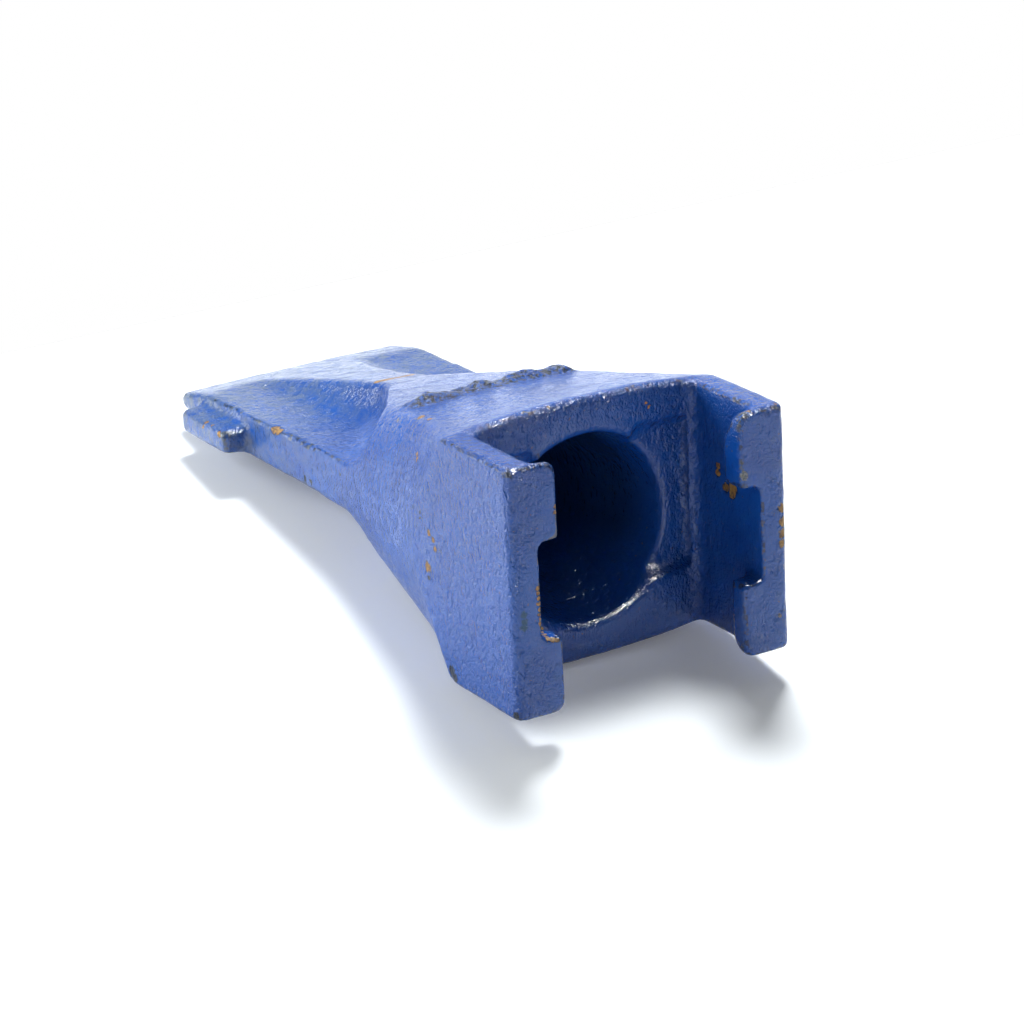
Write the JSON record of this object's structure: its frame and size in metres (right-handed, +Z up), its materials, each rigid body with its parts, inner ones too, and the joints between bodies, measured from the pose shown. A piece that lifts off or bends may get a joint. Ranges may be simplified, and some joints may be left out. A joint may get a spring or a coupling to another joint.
{
  "type": "bucket tooth",
  "caption": "Painted cast steel bucket tooth, wedge blade with scooped faces and a centre rib, conical twist-on socket between hooked ears.",
  "frame": {"origin": "centre of the socket's mouth, on the tooth's own axis, in the plane of the body's rear face", "axes": "+X along the tooth to the cutting edge, +Y across it towards the side with the pouring gate's stub, +Z up out of the broad face that is seen in the picture, on the side of the thicker pair of hooks"},
  "size_m": [0.2335, 0.1006, 0.0858],
  "materials": {
    "blue_paint": "glossy royal blue paint over rough cast steel, chipped to rust in places"
  },
  "bodies": {
    "root": {"tooth": "blue_paint"}
  },
  "joints": []
}
